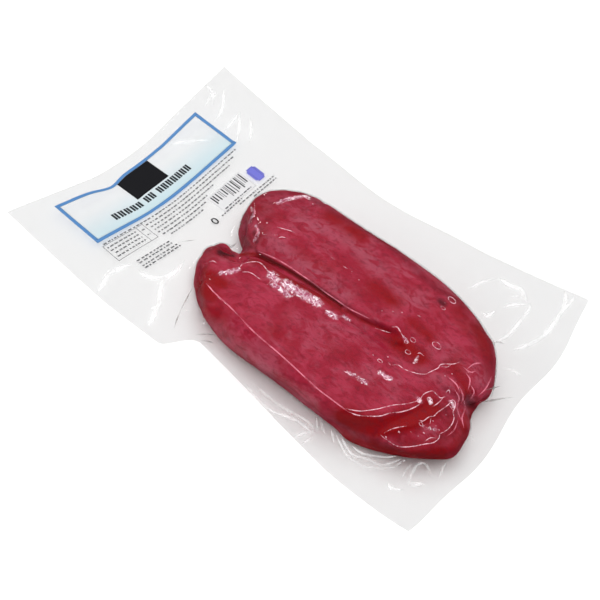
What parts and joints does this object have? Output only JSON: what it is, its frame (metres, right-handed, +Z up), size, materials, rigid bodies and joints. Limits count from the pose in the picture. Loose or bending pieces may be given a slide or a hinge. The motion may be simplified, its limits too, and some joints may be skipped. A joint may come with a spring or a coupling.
{
  "type": "vacuum-packed cod roe",
  "caption": "Pair of dark red cod roe lobes sealed flat in a clear vacuum pouch, its margins curling up at the corners, with plain printed panels at one end.",
  "frame": {"origin": "floor level under the middle of the pouch", "axes": "+X along the pouch, away from its printed end; +Y to the far long side; +Z up"},
  "size_m": [0.2539, 0.16, 0.0265],
  "materials": {
    "roe": "dark crimson roe, wet-looking under tight film",
    "film": "clear glossy packing film",
    "ink": "flat print on the film"
  },
  "bodies": {
    "root": {"sealed_pouch": "roe"}
  },
  "joints": []
}
